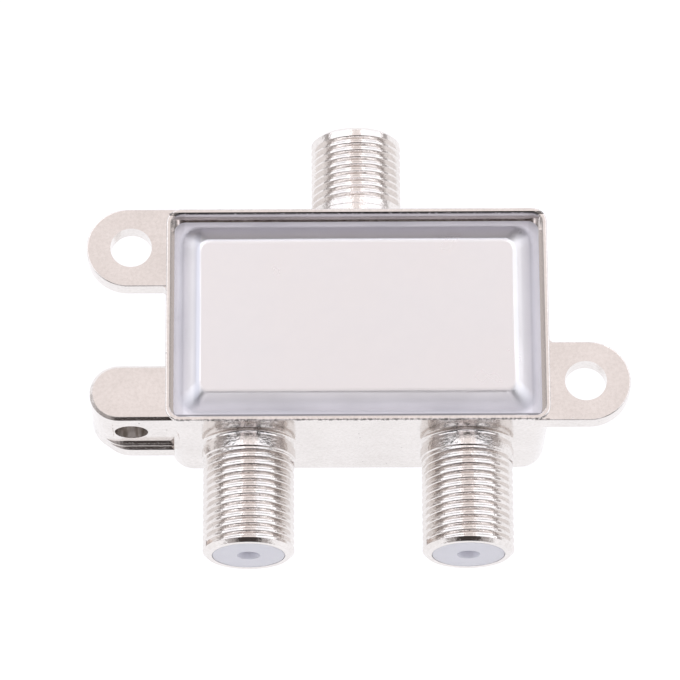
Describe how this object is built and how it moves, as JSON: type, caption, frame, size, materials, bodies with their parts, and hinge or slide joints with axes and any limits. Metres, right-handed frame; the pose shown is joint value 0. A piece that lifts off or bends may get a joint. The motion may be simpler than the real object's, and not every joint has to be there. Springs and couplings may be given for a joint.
{
  "type": "coaxial splitter",
  "caption": "Two-way coaxial signal splitter: plated die-cast housing with threaded ports, sunk sheet cover, mounting ears and an earthing lug with its screw.",
  "frame": {"origin": "middle of the flat label face, under the input port's axis plane", "axes": "+Z out of the cover side, +Y along the input port, +X along the housing towards the ear beside the outputs"},
  "size_m": [0.0552, 0.0455, 0.015],
  "materials": {
    "plated_casting": "bright nickel plate over a slightly grainy zinc casting",
    "cover_sheet": "satin tinned sheet with fine rolled grain",
    "insulator_plastic": "matte pale blue-grey plastic",
    "bush_plastic": "matte natural plastic",
    "contact_brass": "tinned brass",
    "board_laminate": "paper laminate, matte",
    "ferrite": "matte dark ferrite",
    "enamelled_wire": "enamelled copper",
    "resistor_coat": "dipped tan coat",
    "capacitor_coat": "dipped orange coat",
    "tinned_wire": "tinned copper wire",
    "solder": "dull solder",
    "screw_steel": "zinc-plated steel"
  },
  "bodies": {
    "splitter_body": {"capacitor_leads": "tinned_wire", "circuit_board": "board_laminate", "housing": "plated_casting", "input_capacitor": "capacitor_coat", "input_contact": "contact_brass", "input_front_insulator": "insulator_plastic", "input_rear_bush": "bush_plastic", "isolation_resistor": "resistor_coat", "isolation_resistor_leads": "tinned_wire", "left_output_capacitor": "capacitor_coat", "left_output_contact": "contact_brass", "left_output_front_insulator": "insulator_plastic", "left_output_rear_bush": "bush_plastic", "matching_transformer_core": "ferrite", "matching_transformer_winding": "enamelled_wire", "rear_cover": "cover_sheet", "right_output_capacitor": "capacitor_coat", "right_output_contact": "contact_brass", "right_output_front_insulator": "insulator_plastic", "right_output_rear_bush": "bush_plastic", "solder_joints": "solder", "splitting_transformer_core": "ferrite", "splitting_transformer_winding": "enamelled_wire"},
    "ground_screw": {"ground_screw": "screw_steel"}
  },
  "joints": [
    {"name": "ground_screw_travel", "type": "slide", "parent": "splitter_body", "child": "ground_screw", "axis": [0, 0, 1], "range_m": [-0.0025, 0.00128]}
  ]
}
